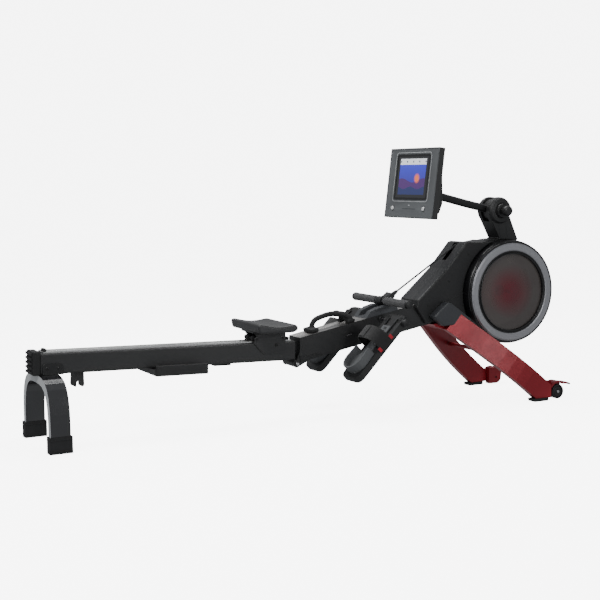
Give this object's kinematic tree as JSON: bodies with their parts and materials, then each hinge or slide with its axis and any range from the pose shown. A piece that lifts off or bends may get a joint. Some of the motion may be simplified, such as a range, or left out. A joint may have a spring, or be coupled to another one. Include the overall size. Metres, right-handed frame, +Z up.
{
  "type": "rowing machine",
  "caption": "Folding rowing machine: a tilted seat rail and front beam, a corded pull handle, pivoting footrests, a round flywheel housing on splayed legs and a screen on an arm.",
  "frame": {"origin": "on the floor, midway along the machine and on its middle plane", "axes": "+X from the rear stand to the flywheel, +Y to the rower's left when facing the console, +Z up"},
  "size_m": [2.227, 0.492, 1.0368],
  "materials": {
    "aluminium": "brushed",
    "black_paint": "satin black powder coat",
    "black_plastic": "fine grained black moulding",
    "cast_iron": "dark red painted casting",
    "console_grey": "satin mid grey moulding",
    "cord": "braided black cord",
    "gloss_black": "gloss black paint",
    "grey_plastic": "dark grey moulding",
    "grip_foam": "dark grey foam",
    "red_paint": "deep metallic red gloss paint",
    "rubber": "matt black rubber",
    "screen": "glossy display glass",
    "seat_vinyl": "dark moulded polyurethane skin",
    "silver_trim": "silver painted ring",
    "smoked_window": "smoky tinted clear plastic",
    "steel": "turned and plated",
    "webbing": "woven black strap"
  },
  "bodies": {
    "frame": {"hinge_pin": "steel", "front_beam": "black_paint", "grab_handle": "rubber", "pedal_axle": "steel", "handle_cradle": "grey_plastic", "shroud_left": "black_plastic", "shroud_right": "black_plastic", "drum_cover_left": "black_plastic", "drum_cover_right": "black_plastic", "ring_trim_left": "silver_trim", "ring_trim_right": "silver_trim", "drum_window_left": "smoked_window", "drum_window_right": "smoked_window", "front_leg_left": "red_paint", "front_leg_right": "red_paint", "stand_bracket": "red_paint", "leg_crossbar": "red_paint", "front_foot_left": "rubber", "front_foot_right": "rubber", "wheel_bracket_left": "red_paint", "wheel_bracket_right": "red_paint", "console_mast": "black_plastic", "drive_belt": "rubber", "drive_cord": "cord"},
    "rail": {"seat_rail": "black_paint", "rail_track": "aluminium", "rail_end_cap": "rubber", "rear_stand": "gloss_black", "rear_boot_left": "rubber", "rear_boot_right": "rubber", "storage_clip": "black_plastic", "lift_handle": "black_plastic", "hinge_knuckle": "black_paint"},
    "seat": {"seat_pad": "seat_vinyl", "seat_carriage": "black_paint"},
    "roller_rear": {"seat_roller_rear": "rubber"},
    "roller_front": {"seat_roller_front": "rubber"},
    "footrest_left": {"footplate_left": "black_plastic", "foot_strap_left": "webbing"},
    "footrest_right": {"footplate_right": "black_plastic", "foot_strap_right": "webbing"},
    "heel_left": {"heel_slider_left": "grey_plastic"},
    "heel_right": {"heel_slider_right": "grey_plastic"},
    "handle": {"handle_bar": "steel", "handle_grip_left": "grip_foam", "handle_grip_right": "grip_foam", "handle_clamp": "black_plastic"},
    "flywheel_disc": {"flywheel": "cast_iron"},
    "magnet_carrier": {"brake_magnet_carrier": "steel"},
    "spool": {"drive_spool": "steel"},
    "guide_pulley": {"cord_pulley": "black_plastic"},
    "wheel_left": {"transport_wheel_left": "rubber"},
    "wheel_right": {"transport_wheel_right": "rubber"},
    "arm": {"console_arm": "black_paint"},
    "knob": {"arm_knob": "black_plastic"},
    "console": {"console_case": "console_grey", "console_screen": "screen"},
    "button_left": {"console_button_left": "aluminium"},
    "button_right": {"console_button_right": "aluminium"}
  },
  "joints": [
    {"name": "rail_fold", "type": "hinge", "parent": "frame", "child": "rail", "pos_m": [-0.08425, 0, 0.213], "axis": [0, -1, 0], "range_deg": [0, 176]},
    {"name": "seat_slide", "type": "slide", "parent": "rail", "child": "seat", "axis": [0.9996, 0, -0.0272], "range_m": [-0.74, 0.02]},
    {"name": "roller_rear_spin", "type": "hinge", "parent": "seat", "child": "roller_rear", "pos_m": [-0.2539, 0, 0.3207], "axis": [0, 1, 0], "range_deg": [-3900, 120]},
    {"name": "roller_front_spin", "type": "hinge", "parent": "seat", "child": "roller_front", "pos_m": [-0.144, 0, 0.3177], "axis": [0, 1, 0], "range_deg": [-3900, 120]},
    {"name": "footrest_tilt_left", "type": "hinge", "parent": "frame", "child": "footrest_left", "pos_m": [0.29825, 0.151, 0.362], "axis": [0, 1, 0], "range_deg": [-15, 20]},
    {"name": "footrest_tilt_right", "type": "hinge", "parent": "frame", "child": "footrest_right", "pos_m": [0.29825, -0.151, 0.362], "axis": [0, 1, 0], "range_deg": [-15, 20]},
    {"name": "heel_slide_left", "type": "slide", "parent": "footrest_left", "child": "heel_left", "axis": [0.7009, 0, 0.7133], "range_m": [-0.015, 0.045]},
    {"name": "heel_slide_right", "type": "slide", "parent": "footrest_right", "child": "heel_right", "axis": [0.7009, 0, 0.7133], "range_m": [-0.015, 0.045]},
    {"name": "handle_pull", "type": "slide", "parent": "frame", "child": "handle", "axis": [-0.9889, 0, 0.1483], "range_m": [0, 1.05], "stiffness_N_per_m": 8, "springref_m": -2, "deforming": ["drive_cord"]},
    {"name": "spool_spin", "type": "hinge", "parent": "frame", "child": "spool", "pos_m": [0.62125, 0, 0.45], "axis": [0, 1, 0], "range_deg": [-1900, 20]},
    {"name": "guide_pulley_spin", "type": "hinge", "parent": "frame", "child": "guide_pulley", "pos_m": [0.70065, 0, 0.619], "axis": [0, 1, 0], "range_deg": [-2560, 20]},
    {"name": "flywheel_spin", "type": "hinge", "parent": "frame", "child": "flywheel_disc", "pos_m": [0.89825, 0, 0.4415], "axis": [0, 1, 0], "continuous": true},
    {"name": "magnet_travel", "type": "slide", "parent": "frame", "child": "magnet_carrier", "axis": [0.4226, 0, 0.9063], "range_m": [0, 0.015]},
    {"name": "transport_wheel_left_spin", "type": "hinge", "parent": "frame", "child": "wheel_left", "pos_m": [1.03725, 0.224, 0.0305], "axis": [0, 1, 0], "continuous": true},
    {"name": "transport_wheel_right_spin", "type": "hinge", "parent": "frame", "child": "wheel_right", "pos_m": [1.03725, -0.224, 0.0305], "axis": [0, 1, 0], "continuous": true},
    {"name": "arm_swing", "type": "hinge", "parent": "frame", "child": "arm", "pos_m": [0.88025, 0, 0.778], "axis": [0, 1, 0], "range_deg": [-10, 25]},
    {"name": "arm_knob_turn", "type": "hinge", "parent": "frame", "child": "knob", "pos_m": [0.88025, 0, 0.778], "axis": [0, 1, 0], "range_deg": [-180, 180]},
    {"name": "console_tilt", "type": "hinge", "parent": "arm", "child": "console", "pos_m": [0.54625, 0, 0.854], "axis": [0, 1, 0], "range_deg": [-10, 15]},
    {"name": "button_left_press", "type": "slide", "parent": "console", "child": "button_left", "axis": [0.9914, 0, -0.1305], "range_m": [0, 0.0015], "stiffness_N_per_m": 400, "springref_m": -0.0005},
    {"name": "button_right_press", "type": "slide", "parent": "console", "child": "button_right", "axis": [0.9914, 0, -0.1305], "range_m": [0, 0.0015], "stiffness_N_per_m": 400, "springref_m": -0.0005}
  ],
  "couplings": [
    {"joint": "roller_rear_spin", "follows": "seat_slide", "rad_per_m": 90.909},
    {"joint": "roller_front_spin", "follows": "seat_slide", "rad_per_m": 90.909},
    {"joint": "spool_spin", "follows": "handle_pull", "rad_per_m": -30.769},
    {"joint": "guide_pulley_spin", "follows": "handle_pull", "rad_per_m": -41.667}
  ]
}
